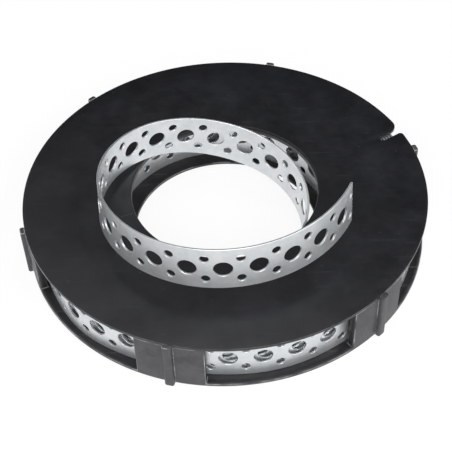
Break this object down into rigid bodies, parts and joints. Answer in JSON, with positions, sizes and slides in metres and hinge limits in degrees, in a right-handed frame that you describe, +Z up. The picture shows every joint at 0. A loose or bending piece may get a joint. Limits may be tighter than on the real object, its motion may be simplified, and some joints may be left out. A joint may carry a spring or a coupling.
{
  "type": "perforated steel strap",
  "caption": "Coil of perforated galvanised steel strap in a flat round plastic cassette, its inner end drawn up through the centre hole as a loop.",
  "frame": {"origin": "on the cassette's axis at the underside of its base plate", "axes": "+Z up along the cassette's axis, -Y towards the viewer of the picture, +X to the viewer's right"},
  "size_m": [0.165, 0.165, 0.0538],
  "materials": {
    "plastic": "satin black, lightly scuffed",
    "steel": "bright galvanised sheet"
  },
  "bodies": {
    "root": {"cassette_base": "plastic", "cassette_cover": "plastic", "strap": "steel"}
  },
  "joints": []
}
